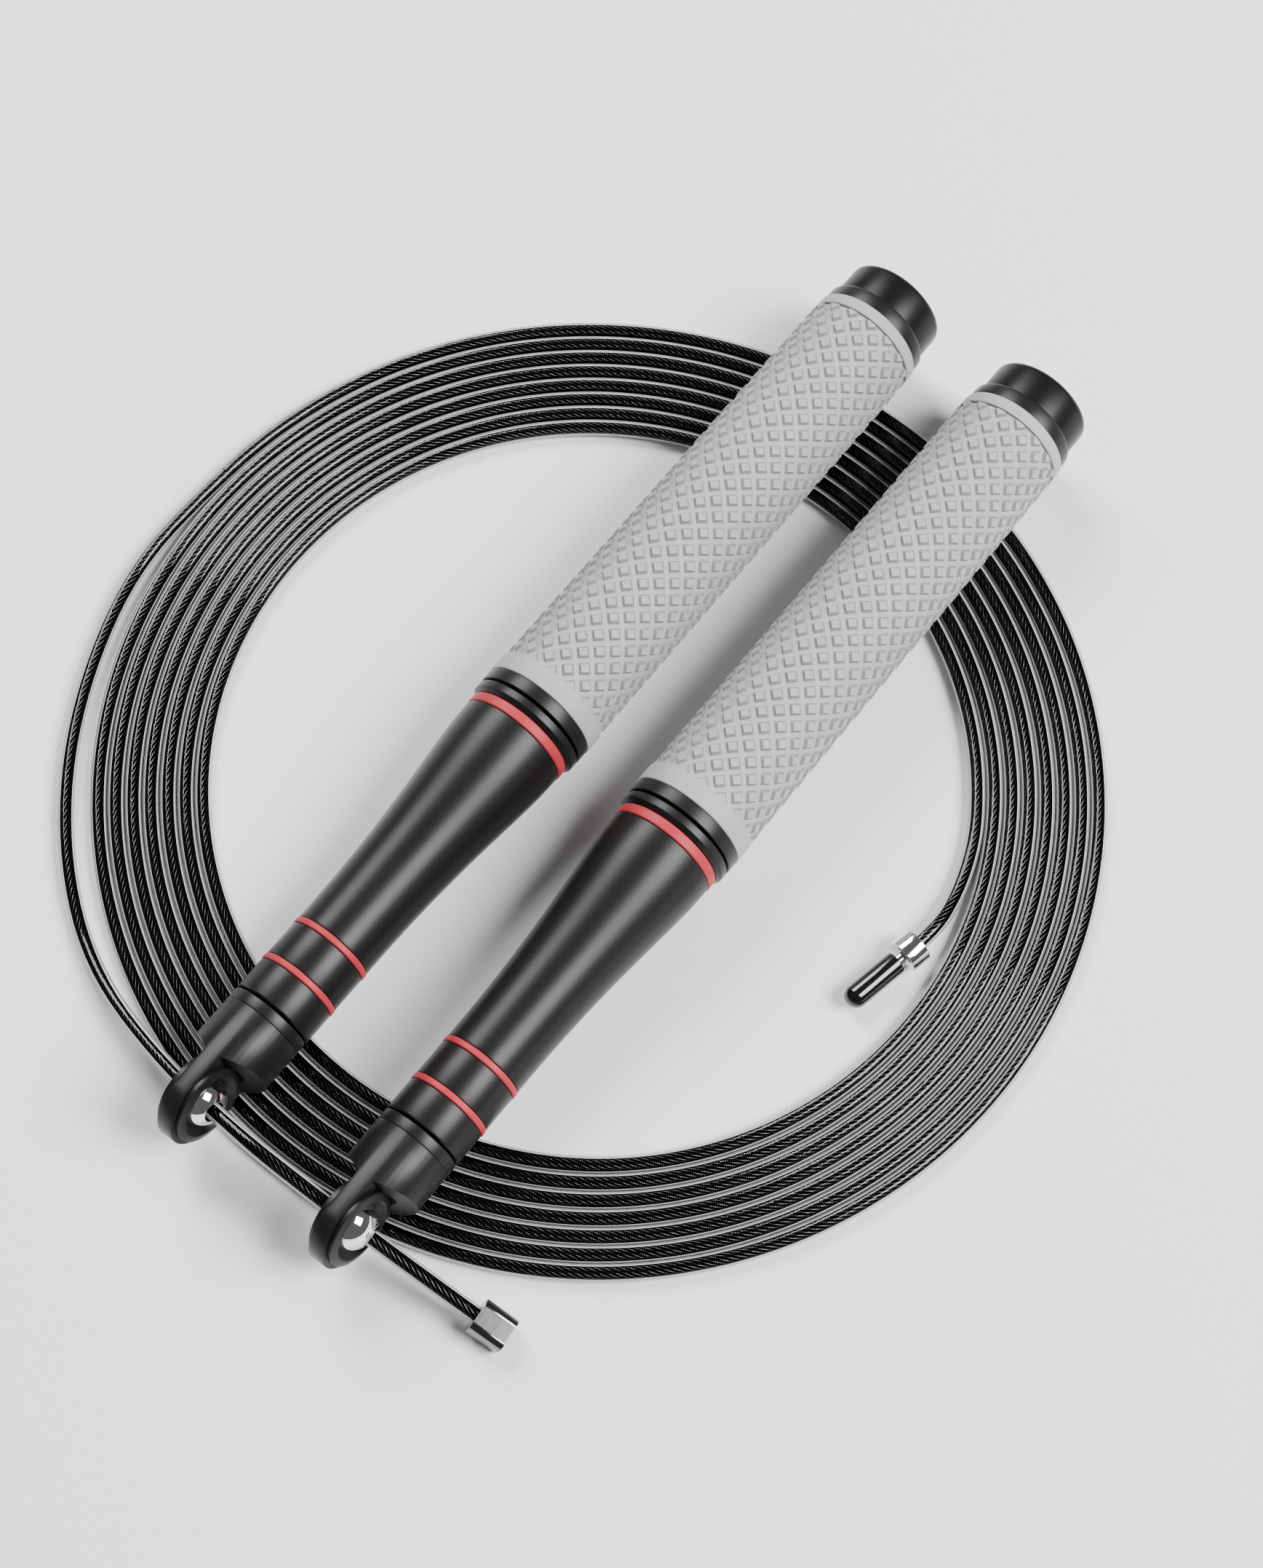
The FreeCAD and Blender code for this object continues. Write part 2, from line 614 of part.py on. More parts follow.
# ---------------------------------------------------------------- assembly
def handle_slope():
    """Rise of a handle in degrees: the grip lies just above the coil's far turns."""
    rise = CABLE_D + GRIP_D / 2 + REST_GAP - ball_centre("left").z
    return math.degrees(math.asin(rise / REST_SPAN))


def handle_direction():
    """Direction of a handle, from its ball to its end cap."""
    return direction(HANDLE_AZIMUTH, handle_slope())


def handle_placement(side):
    """Placement of a handle: along its direction, rolled about its own axis."""
    turn = Rotation(Z_AXIS, HANDLE_AZIMUTH).multiply(Rotation(Y_AXIS, -handle_slope()))
    return Placement(ball_centre(side), turn.multiply(Rotation(X_AXIS, -EYE_ROLL)))


def ball_placement(side):
    """Placement of a ball: its bore follows the cable."""
    return Placement(ball_centre(side), Rotation(Y_AXIS, bore_direction(side)))


HANDLE_PIECES = {
    "swivel_head": swivel_head, "socket_ring": socket_ring, "dust_ring": dust_ring,
    "axle_screw": axle_screw, "axle_spacer": axle_spacer, "inner_races": inner_races,
    "outer_races": outer_races, "bearing_balls": bearing_balls, "retaining_clip": retaining_clip,
    "handle_body": handle_body, "slim_rings": slim_rings, "wide_ring": wide_ring,
    "front_collar": front_collar, "grip_sleeve": grip_sleeve, "rear_collar": rear_collar,
    "end_cap": end_cap,
}


def handle_nodes():
    """Nodes of both handles, in the floor frame."""
    nodes = {}
    for side in BALL_PLAN:
        for name, make in HANDLE_PIECES.items():
            shape = make()
            shape.Placement = handle_placement(side)
            nodes[name + "_" + side] = shape
        ball = swivel_ball()
        ball.Placement = ball_placement(side)
        nodes["swivel_ball_" + side] = ball
    return nodes


def cable_nodes():
    """Nodes of the cable and of what is on it, in the floor frame."""
    coil = cable_coil()
    return {
        "cable_lead": cable_tube("cable_lead", lead_route()),
        "cable_coil": coil,
        "cable_tail": cable_tube("cable_tail", tail_route()).cut(coil),
        "ferrule": ferrule(),
        "stop_collar": stop_collar(),
        "set_screw": set_screw(),
        "bumper": bumper(),
    }


def handles_centre(nodes):
    """Centre of the box around both handles."""
    box = FreeCAD.BoundBox()
    for shape in nodes.values():
        box.add(shape.optimalBoundingBox(False))
    return box.Center


def main():
    """Build every node and write it about the centre of the two handles."""
    handles = handle_nodes()
    centre = handles_centre(handles)
    os.makedirs("parts", exist_ok=True)
    for name, shape in {**handles, **cable_nodes()}.items():
        moved = shape.translated(-centre)
        if not moved.isValid():
            print(name, "is not valid")
        moved.exportStep("parts/" + name + ".step")
    print("floor is %.3f mm below the origin" % centre.z)
    for side in BALL_PLAN:
        print(side, "ball", ball_centre(side) - centre, "bore", bore_direction(side),
              "handle", handle_direction())


if __name__ == "__main__":
    main()
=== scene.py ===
"""Looks of a speed jump rope over its CAD frame: cable, swivels, handles, light and camera."""
import json
import logging
import math
from dataclasses import dataclass, field
from enum import Enum
from typing import Iterable, Sequence

import bmesh
import bpy
from mathutils import Matrix, Vector


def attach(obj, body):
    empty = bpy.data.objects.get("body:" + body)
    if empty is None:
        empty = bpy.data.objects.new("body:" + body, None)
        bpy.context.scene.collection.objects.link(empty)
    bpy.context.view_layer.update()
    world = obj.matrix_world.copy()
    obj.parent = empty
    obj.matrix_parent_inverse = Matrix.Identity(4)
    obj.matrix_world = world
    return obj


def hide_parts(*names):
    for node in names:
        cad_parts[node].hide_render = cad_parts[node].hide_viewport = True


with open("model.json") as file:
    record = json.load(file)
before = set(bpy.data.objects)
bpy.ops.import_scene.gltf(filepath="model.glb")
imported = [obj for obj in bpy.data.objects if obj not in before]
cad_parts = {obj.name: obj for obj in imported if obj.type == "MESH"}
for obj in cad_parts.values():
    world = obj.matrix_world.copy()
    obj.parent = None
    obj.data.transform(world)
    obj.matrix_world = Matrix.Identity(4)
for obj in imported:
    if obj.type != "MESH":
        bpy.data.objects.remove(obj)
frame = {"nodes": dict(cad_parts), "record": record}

LOG = logging.getLogger("jump_rope")
MM = 0.001
DOUBLED = 1e-7
Outline = Sequence[tuple[float, float, float]]
Colour = tuple[float, float, float]
Place = tuple[float, float, float]


# ---------------------------------------------------------------- node helpers
class Nodes:
    """A material's node tree with short calls for adding and joining nodes."""

    def __init__(self, name: str) -> None:
        """Start an empty material.

        Args:
            name: The material's name.
        """
        self.material = bpy.data.materials.new(name)
        self.material.use_nodes = True
        self.tree = self.material.node_tree
        self.tree.nodes.clear()
        self.output = self.tree.nodes.new("ShaderNodeOutputMaterial")

    def add(self, kind: str, **values: object) -> bpy.types.Node:
        """Add a node and set its sockets or properties.

        Args:
            kind: Node type without its ShaderNode prefix.
            values: Socket or property name, with underscores for spaces, and its value or source.

        Returns:
            The new node.
        """
        node = self.tree.nodes.new("ShaderNode" + kind)
        for key, value in values.items():
            name = key.replace("_", " ")
            if name in node.inputs:
                self.put(node.inputs[name], value)
            elif key.startswith("in") and key[2:].isdigit():
                self.put(node.inputs[int(key[2:])], value)
            else:
                setattr(node, key, value)
        return node

    def put(self, socket: bpy.types.NodeSocket, value: object) -> None:
        """Join a socket to another, or set its value."""
        if isinstance(value, bpy.types.NodeSocket):
            self.tree.links.new(value, socket)
        else:
            socket.default_value = value

    def math(self, operation: str, a: object, b: object = 0.0, c: object = 0.0) -> bpy.types.NodeSocket:
        """Result of a Math node on up to three values or sockets."""
        return self.add("Math", operation=operation, in0=a, in1=b, in2=c).outputs[0]

    def wave(self, turns: bpy.types.NodeSocket, count: int) -> bpy.types.NodeSocket:
        """Rounded wave from 0 to 1 with this many crests in one turn."""
        cosine = self.math("COSINE", self.math("MULTIPLY", turns, count * math.tau))
        return self.math("MULTIPLY_ADD", cosine, 0.5, 0.5)

    def noise(self, where: bpy.types.NodeSocket, scale: float,
              detail: float = 3.0) -> bpy.types.NodeSocket:
        """Noise from 0 to 1 at this scale in features per metre."""
        return self.add("TexNoise", Vector=where, Scale=scale, Detail=detail).outputs[0]

    def place(self) -> bpy.types.NodeSocket:
        """Coordinates in metres that stay with the piece."""
        return self.add("TexCoord").outputs["Object"]

    def stretched(self, where: bpy.types.NodeSocket, scale: Place) -> bpy.types.NodeSocket:
        """Coordinates stretched by a factor along each axis."""
        return self.add("Mapping", Vector=where, Scale=scale).outputs[0]

    def ramp(self, value: bpy.types.NodeSocket,
             stops: Sequence[tuple[float, float]]) -> bpy.types.NodeSocket:
        """A value mapped through grey stops, as (place, level) pairs."""
        node = self.add("ValToRGB", Fac=value)
        elements = node.color_ramp.elements
        while len(elements) < len(stops):
            elements.new(0.5)
        for element, (at, level) in zip(elements, stops):
            element.position = at
            element.color = (level, level, level, 1.0)
        return node.outputs[0]

    def blend(self, factor: object, a: Colour, b: Colour) -> bpy.types.NodeSocket:
        """Colour between a and b."""
        node = self.add("MixRGB", in0=factor, in1=(*a, 1.0), in2=(*b, 1.0))
        return node.outputs[0]

    def bump(self, height: bpy.types.NodeSocket, depth: float) -> bpy.types.NodeSocket:
        """Normal from a height whose full range is depth metres."""
        return self.add("Bump", Height=height, Distance=depth, Strength=1.0).outputs[0]

    def finish(self, shader: bpy.types.NodeSocket) -> bpy.types.Material:
        """Join the last shader to the output and return the material."""
        self.tree.links.new(shader, self.output.inputs["Surface"])
        return self.material


# ---------------------------------------------------------------- finishes
@dataclass(frozen=True)
class Anodised:
    """Satin anodised aluminium with a faint turned grain."""

    name: str
    light: Colour
    dark: Colour
    roughness: float = 0.36
    metallic: float = 0.4
    specular: float = 0.22
    grain: float = 2.0e-6

    def material(self) -> bpy.types.Material:
        """Build the node material.

        Returns:
            The material.
        """
        n = Nodes(self.name)
        where = n.place()
        cloud = n.noise(where, 90.0)
        speck = n.noise(where, 9000.0, 2.0)
        colour = n.blend(cloud, self.dark, self.light)
        base = n.math("MULTIPLY_ADD", cloud, 0.06, self.roughness - 0.08)
        rough = n.math("MULTIPLY_ADD", speck, 0.10, base)
        shader = n.add("BsdfPrincipled", Base_Color=colour, Metallic=self.metallic, Roughness=rough,
                       Specular_IOR_Level=self.specular, Normal=n.bump(speck, self.grain))
        return n.finish(shader.outputs[0])


@dataclass(frozen=True)
class Polished:
    """Bright plated or ground metal, with fine haze in its roughness."""

    name: str
    colour: Colour
    roughness: float
    haze: float = 0.04
    stretch: Place = (1.0, 1.0, 1.0)
    scratch: float = 0.0

    def material(self) -> bpy.types.Material:
        """Build the node material.

        Returns:
            The material.
        """
        n = Nodes(self.name)
        where = n.stretched(n.place(), self.stretch)
        haze = n.noise(where, 2500.0)
        tone = n.noise(where, 400.0)
        dark = tuple(0.86 * c for c in self.colour)
        shader = n.add("BsdfPrincipled", Base_Color=n.blend(tone, dark, self.colour), Metallic=1.0,
                       Roughness=n.math("MULTIPLY_ADD", haze, self.haze, self.roughness))
        if self.scratch:
            n.put(shader.inputs["Normal"], n.bump(haze, self.scratch))
        return n.finish(shader.outputs[0])


@dataclass(frozen=True)
class Moulded:
    """Moulded rubber or plastic with a fine grain."""

    name: str
    light: Colour
    dark: Colour
    roughness: float
    coat: float = 0.0
    grain: float = 8.0e-6
    grain_scale: float = 6000.0
    sheen: float = 0.0
    specular: float = 0.5

    def material(self) -> bpy.types.Material:
        """Build the node material.

        Returns:
            The material.
        """
        n = Nodes(self.name)
        where = n.place()
        cloud = n.noise(where, 60.0, 4.0)
        grain = n.noise(where, self.grain_scale, 3.0)
        rough = n.math("MULTIPLY_ADD", cloud, 0.08, self.roughness - 0.04)
        shader = n.add("BsdfPrincipled", Base_Color=n.blend(cloud, self.dark, self.light),
                       Roughness=rough, Normal=n.bump(grain, self.grain), Coat_Weight=self.coat,
                       Coat_Roughness=0.05, Sheen_Weight=self.sheen,
                       Specular_IOR_Level=self.specular)
        return n.finish(shader.outputs[0])


@dataclass(frozen=True)
class TwistedSteel:
    """Dark twisted steel core: wires from the map along and around the cable, with brighter crests as
    painted highlight for the glints and near-black valleys as painted shade.
    """

    name: str = "cable_core_steel"
    strands: int = 10
    wires: int = 30
    # Bright crest colour is painted highlight for the glints; near-black valley colour is painted shade
    # between the strands.
    crest: Colour = (0.15, 0.15, 0.15)
    valley: Colour = (0.001, 0.001, 0.001)

    def material(self) -> bpy.types.Material:
        """Build the node material.

        Returns:
            The material.
        """
        n = Nodes(self.name)
        split = n.add("SeparateXYZ", Vector=n.add("UVMap", uv_map="lay").outputs[0])
        lays, around = split.outputs[0], split.outputs[1]
        strand = n.wave(n.math("SUBTRACT", around, lays), self.strands)
        wire = n.wave(n.math("MULTIPLY_ADD", lays, -2.2, around), self.wires)
        height = n.math("MULTIPLY_ADD", wire, 0.10, n.math("POWER", strand, 0.6))
        # Reflectance raised on the strand crests as painted highlight and cut to near black in the valleys
        # as painted shade.
        crest_glint_valley_shade = n.math("MULTIPLY", n.math("POWER", strand, 8.0), n.math("MULTIPLY_ADD", wire, 0.45, 0.55))
        shader = n.add("BsdfPrincipled", Base_Color=n.blend(crest_glint_valley_shade, self.valley, self.crest), Metallic=1.0,
                       Roughness=0.13, Normal=n.bump(height, 1.6e-4))
        return n.finish(shader.outputs[0])


@dataclass(frozen=True)
class ClearJacket:
    """Clear jacket: see-through face on, with painted bright and dark lines along its edges in place of
    light bent through it, glossy all over.
    """

    name: str = "cable_clear_jacket"
    # Grey stops on the facing ramp: painted bright lines at the edges and painted dark lines between them.
    painted_rim_stops: Sequence[tuple[float, float]] = ((0.36, 0.8), (0.42, 0.75), (0.50, 0.22), (0.66, 0.28),
                                          (0.76, 0.8), (0.88, 0.10))

    def material(self) -> bpy.types.Material:
        """Build the node material.

        Returns:
            The material.
        """
        n = Nodes(self.name)
        smear = n.noise(n.place(), 700.0)
        facing = n.add("LayerWeight", Blend=0.5).outputs["Facing"]
        # Painted rim light: the edge colour comes from how far each face turns from the view.
        tone = n.math("MULTIPLY", n.ramp(facing, self.painted_rim_stops), n.math("MULTIPLY_ADD", smear, 0.2, 0.9))
        clear = n.add("BsdfTransparent", Color=(0.95, 0.955, 0.955, 1.0)).outputs[0]
        painted_rim_light = n.add("BsdfPrincipled", Base_Color=tone, Roughness=0.22).outputs[0]
        gloss = n.add("BsdfGlossy", Color=(0.75, 0.75, 0.75, 1.0),
                      Roughness=n.math("MULTIPLY_ADD", smear, 0.04, 0.01)).outputs[0]
        # Toward the edges the painted rim colour takes over from the clear part.
        edge = n.ramp(facing, ((0.33, 0.0), (0.37, 0.85)))
        shine = n.add("Fresnel", IOR=1.42).outputs[0]
        body = n.add("MixShader", in0=edge, in1=clear, in2=painted_rim_light).outputs[0]
        return n.finish(n.add("MixShader", in0=shine, in1=body, in2=gloss).outputs[0])


@dataclass(frozen=True)
class Paper:
    """Pale matte backdrop."""

    name: str = "backdrop_paper"
    light: Colour = (0.92, 0.92, 0.92)

    def material(self) -> bpy.types.Material:
        """Build the node material.

        Returns:
            The material.
        """
        n = Nodes(self.name)
        cloud = n.noise(n.place(), 8.0)
        dark = tuple(0.985 * c for c in self.light)
        shader = n.add("BsdfPrincipled", Base_Color=n.blend(cloud, dark, self.light), Roughness=0.75)
        return n.finish(shader.outputs[0])


class Finish(Enum):
    """Every finish in the scene. None shares its name with a slot of the record."""

    BLACK = Anodised("satin_black_anodised", (0.0150, 0.0138, 0.0128), (0.0112, 0.0103, 0.0096),
                     specular=0.3)
    RED = Anodised("satin_red_anodised", (0.42, 0.034, 0.046), (0.37, 0.029, 0.039), 0.48, 0.05, 0.2)
    CHROME = Polished("mirror_chrome", (0.86, 0.86, 0.87), 0.03)
    COLLAR = Polished("turned_chrome", (0.84, 0.84, 0.85), 0.05, 0.05)
    FERRULE = Polished("crimped_steel", (0.20, 0.197, 0.19), 0.10, 0.06, (0.25, 0.25, 4.0), 1.0e-6)
    STEEL = Polished("ground_steel", (0.56, 0.56, 0.58), 0.25, 0.1)
    GRIP = Moulded("moulded_silicone", (0.385, 0.375, 0.367), (0.355, 0.346, 0.338), 0.62, sheen=0.1)
    # The darker silicone below is painted shade: a shaded copy of the grip silicone for the pyramids'
    # walls.
    GRIP_WALL = Moulded("moulded_silicone_walls", (0.25, 0.243, 0.238), (0.225, 0.219, 0.214), 0.66)
    CAP = Moulded("moulded_black_plastic", (0.007, 0.007, 0.0072), (0.005, 0.005, 0.0052), 0.33,
                  grain=1.0e-6, specular=0.14)
    BUMPER = Moulded("glossy_black_rubber", (0.004, 0.004, 0.0042), (0.003, 0.003, 0.003), 0.10, 0.3,
                     1.0e-7)
    CORE = TwistedSteel()
    JACKET = ClearJacket()
    PAPER = Paper()

    def material(self) -> bpy.types.Material:
        """The finish's material, built once."""
        made = bpy.data.materials.get(self.value.name)
        return made or self.value.material()


# ---------------------------------------------------------------- mesh helpers
def new_object(name: str, vertices: Iterable[Vector], faces: Iterable[Sequence[int]],
               finish: Finish, sharp: float = 32.0) -> bpy.types.Object:
    """Make a mesh object with smooth faces and sharp edges by angle.

    Args:
        name: Name of the piece.
        vertices: Points in the row frame.
        faces: Corner indices of each face.
        finish: Its finish.
        sharp: Angle in degrees past which an edge is sharp.

    Returns:
        The object, in the scene.
    """
    mesh = bpy.data.meshes.new(name)
    mesh.from_pydata([tuple(v) for v in vertices], [], [tuple(f) for f in faces])
    mesh.validate()
    mesh.shade_smooth()
    mesh.set_sharp_from_angle(angle=math.radians(sharp))
    mesh.materials.append(finish.material())
    obj = bpy.data.objects.new(name, mesh)
    bpy.context.scene.collection.objects.link(obj)
    return obj


def rounded_outline(outline: Outline, steps: int = 4) -> list[tuple[float, float]]:
    """Round the corners of a closed outline.

    Args:
        outline: Corners as (along, radius, edge radius), in millimetres.
        steps: Points on each rounded corner, less one.

    Returns:
        Points as (along, radius).
    """
    points = []
    count = len(outline)
    for i, (x, r, edge) in enumerate(outline):
        corner = Vector((x, r))
        back = Vector(outline[i - 1][:2]) - corner
        ahead = Vector(outline[(i + 1) % count][:2]) - corner
        half = back.angle(ahead) / 2
        if edge <= 0 or half > math.radians(88):
            points.append((x, r))
            continue
        reach = min(edge / math.tan(half), 0.49 * back.length, 0.49 * ahead.length)
        edge = reach * math.tan(half)
        start, end = corner + back.normalized() * reach, corner + ahead.normalized() * reach
        centre = corner + (back.normalized() + ahead.normalized()).normalized() * (edge / math.sin(half))
        a, b = start - centre, end - centre
        for k in range(steps + 1):
            way = a.lerp(b, k / steps).normalized() * edge
            points.append(tuple(centre + way))
    return points


def lathe(name: str, outline: Outline, place: Matrix, finish: Finish, around: int = 96) -> bpy.types.Object:
    """Turn a closed outline about the local X axis.

    Args:
        name: Name of the piece.
        outline: Corners as (along, radius, edge radius), in millimetres.
        place: From the outline's frame in millimetres to the row frame.
        finish: Its finish.
        around: Number of steps around.

    Returns:
        The object.
    """
    points = rounded_outline(outline)
    vertices, faces = [], []
    count = len(points)
    for j in range(around):
        angle = math.tau * j / around
        for x, r in points:
            vertices.append(place @ Vector((x, r * math.cos(angle), r * math.sin(angle))))
    for j in range(around):
        a, b = j * count, (j + 1) % around * count
        for i in range(count):
            k = (i + 1) % count
            faces.append((a + i, a + k, b + k, b + i))
    obj = new_object(name, vertices, faces, finish)
    tidy(obj)
    return obj


def tidy(obj: bpy.types.Object) -> None:
    """Merge doubled points and turn every face outwards."""
    bm = bmesh.new()
    bm.from_mesh(obj.data)
    bmesh.ops.remove_doubles(bm, verts=bm.verts, dist=DOUBLED)
    bmesh.ops.recalc_face_normals(bm, faces=bm.faces)
    bm.to_mesh(obj.data)
    bm.free()


def record_joint(name: str) -> dict:
    """The record's joint of this name."""
    return next(j for j in frame["record"]["behaviour"]["joints"] if j["name"] == name)


def dress_node(name: str, finish: Finish, bevel: float = 0.0) -> None:
    """Give a CAD node its finish, and soft edges if asked.

    Args:
        name: The node.
        finish: Its finish.
        bevel: Width of its softened edges, in metres.
    """
    obj = frame["nodes"][name]
    obj.data.materials.clear()
    obj.data.materials.append(finish.material())
    if bevel:
        weld = obj.modifiers.new("weld", "WELD")
        weld.merge_threshold = 1e-6
        soft = obj.modifiers.new("soft_edges", "BEVEL")
        soft.width = bevel
        soft.segments = 3
        soft.limit_method = "ANGLE"
        soft.angle_limit = math.radians(30)
        soft.harden_normals = True


class Side(Enum):
    """Which handle."""

    LEFT = "left"
    RIGHT = "right"


# ---------------------------------------------------------------- floor frame
@dataclass(frozen=True)
class FloorFrame:
    """Millimetres about the coil's centre on the floor, as the cable's route is given."""

    left_ball: Place = (-55.3, -54.4, 9.6)

    def origin(self) -> Vector:
        """The coil's centre on the floor, in the row frame."""
        return Vector(record_joint("ball_left_turn")["pos_m"]) - Vector(self.left_ball) * MM

    def point(self, x: float, y: float, z: float) -> Vector:
        """A point of the floor frame, in the row frame."""
        return self.origin() + Vector((x, y, z)) * MM


# ---------------------------------------------------------------- cable
@dataclass
class Cable:
    """The cable: its route, its clear jacket and its twisted core."""

    floor: FloorFrame
    diameter: float = 2.5
    core: float = 1.9
    lay: float = 11.4
    turn_pitch: float = 2.62
    coil_r: float = 78.1
    coil_oval: float = 1.06
    oval_angle: float = 100.5
    coil_start: float = 141.7
    coil_end: float = -8.0
    full_turns: int = 7
    points_a_turn: int = 36
    ball_run: float = 9.0
    bore_plan: dict = field(default_factory=lambda: {"left": 135.0, "right": 145.5})
    bore_fall: dict = field(default_factory=lambda: {"left": 17.0, "right": 15.5})
    ferrule_end: Place = (-12.1, -86.3, 2.2)
    lead: Sequence[Place] = ((-73.2, -32.6, 1.25), (-78.5, -16.9, 1.25), (-80.0, 1.0, 1.25),
                             (-77.4, 19.0, 1.25), (-71.5, 35.7, 1.25))
    tail: Sequence[Place] = ((56.0, -14.6, 1.25), (53.5, -20.9, 1.6), (50.25, -26.3, 2.78),
                             (45.8, -30.1, 2.68))

    def beside_ball(self, side: str, toward_coil: bool) -> Vector:
        """Route point beside a ball.

        Args:
            side: Which handle's ball.
            toward_coil: On the coil's side of it, or on the ferrule's.

        Returns:
            The point in the row frame.
        """
        sense, outward = (1 if toward_coil else -1), (1 if side == "left" else -1)
        plan, fall = math.radians(self.bore_plan[side]), math.radians(self.bore_fall[side])
        step = Vector((sense * math.cos(plan), sense * math.sin(plan), -sense * outward * math.tan(fall)))
        return Vector(record_joint("ball_%s_turn" % side)["pos_m"]) + step * self.ball_run * MM

    def coil(self) -> list[Vector]:
        """Route points of the coil, from its outer start to its inner end."""
        travel = self.coil_start - self.coil_end + 360 * self.full_turns
        steps = round(travel * self.points_a_turn / 360)
        outside = 1 / math.cos(math.pi / self.points_a_turn)
        points = []
        for i in range(steps + 1):
            gone = travel * i / steps
            angle = math.radians(self.coil_start - gone)
            oval = self.coil_oval * math.cos(2 * (angle - math.radians(self.oval_angle)))
            r = (self.coil_r + oval - self.turn_pitch * gone / 360) * outside
            points.append(self.floor.point(r * math.cos(angle), r * math.sin(angle), self.diameter / 2))
        return points

    def route(self) -> list[Vector]:
        """Every point of the route, from the ferrule to the stop collar."""
        balls = [self.beside_ball("right", False), self.beside_ball("right", True),
                 self.beside_ball("left", False), self.beside_ball("left", True)]
        return [self.floor.point(*self.ferrule_end), *balls, *(self.floor.point(*p) for p in self.lead),
                *self.coil(), *(self.floor.point(*p) for p in self.tail)]

    def centreline(self) -> list[Vector]:
        """Close points along the smooth route.

        Returns:
            Points of the route's NURBS spline, in the row frame.
        """
        curve = bpy.data.curves.new("cable_route", "CURVE")
        curve.dimensions = "3D"
        curve.resolution_u = 6
        spline = curve.splines.new("NURBS")
        route = self.route()
        spline.points.add(len(route) - 1)
        for point, place in zip(spline.points, route):
            point.co = (*place, 1.0)
        spline.order_u = 3
        spline.use_endpoint_u = True
        guide = bpy.data.objects.new("cable_route", curve)
        bpy.context.scene.collection.objects.link(guide)
        mesh = bpy.data.meshes.new_from_object(guide)
        points = [v.co.copy() for v in mesh.vertices]
        bpy.data.objects.remove(guide)
        return points

    def sweep(self, name: str, path: Sequence[Vector], radius: float, sides: int,
              finish: Finish) -> bpy.types.Object:
        """Tube along a path, with a map whose u counts lays and v goes once around.

        Args:
            name: Name of the piece.
            path: Its centreline.
            radius: In millimetres.
            sides: Steps around.
            finish: Its finish.

        Returns:
            The object.
        """
        normal = Vector((0, 0, 1))
        vertices, gone, before = [], [0.0], path[0]
        for i, here in enumerate(path):
            ahead = path[min(i + 1, len(path) - 1)] - path[max(i - 1, 0)]
            ahead.normalize()
            normal = (normal - ahead * normal.dot(ahead)).normalized()
            other = ahead.cross(normal)
            if i:
                gone.append(gone[-1] + (here - before).length)
            before = here
            for k in range(sides):
                turn = math.tau * k / sides
                vertices.append(here + (normal * math.cos(turn) + other * math.sin(turn)) * radius * MM)
        faces, lays = [], []
        for i in range(len(path) - 1):
            u0, u1 = gone[i] / (self.lay * MM), gone[i + 1] / (self.lay * MM)
            for k in range(sides):
                m = (k + 1) % sides
                faces.append((i * sides + k, i * sides + m, (i + 1) * sides + m, (i + 1) * sides + k))
                v0, v1 = k / sides, (k + 1) / sides
                lays += [(u0, v0), (u0, v1), (u1, v1), (u1, v0)]
        last = (len(path) - 1) * sides
        for ring, end in ((range(sides - 1, -1, -1), 0), (range(sides), last)):
            faces.append([end + k for k in ring])
            lays += [(gone[0 if end == 0 else -1] / (self.lay * MM), k / sides) for k in ring]
        obj = new_object(name, vertices, faces, finish, 60.0)
        layer = obj.data.uv_layers.new(name="lay")
        for loop, uv in zip(layer.data, lays):
            loop.uv = uv
        return obj

    def build(self) -> None:
        path = self.centreline()
        jacket = self.sweep("cable_jacket", path, self.diameter / 2, 16, Finish.JACKET)
        core = self.sweep("cable_core", path, self.core / 2, 12, Finish.CORE)
        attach(jacket, "rope")
        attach(core, "rope")
        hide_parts("cable_coil", "cable_lead", "cable_tail")


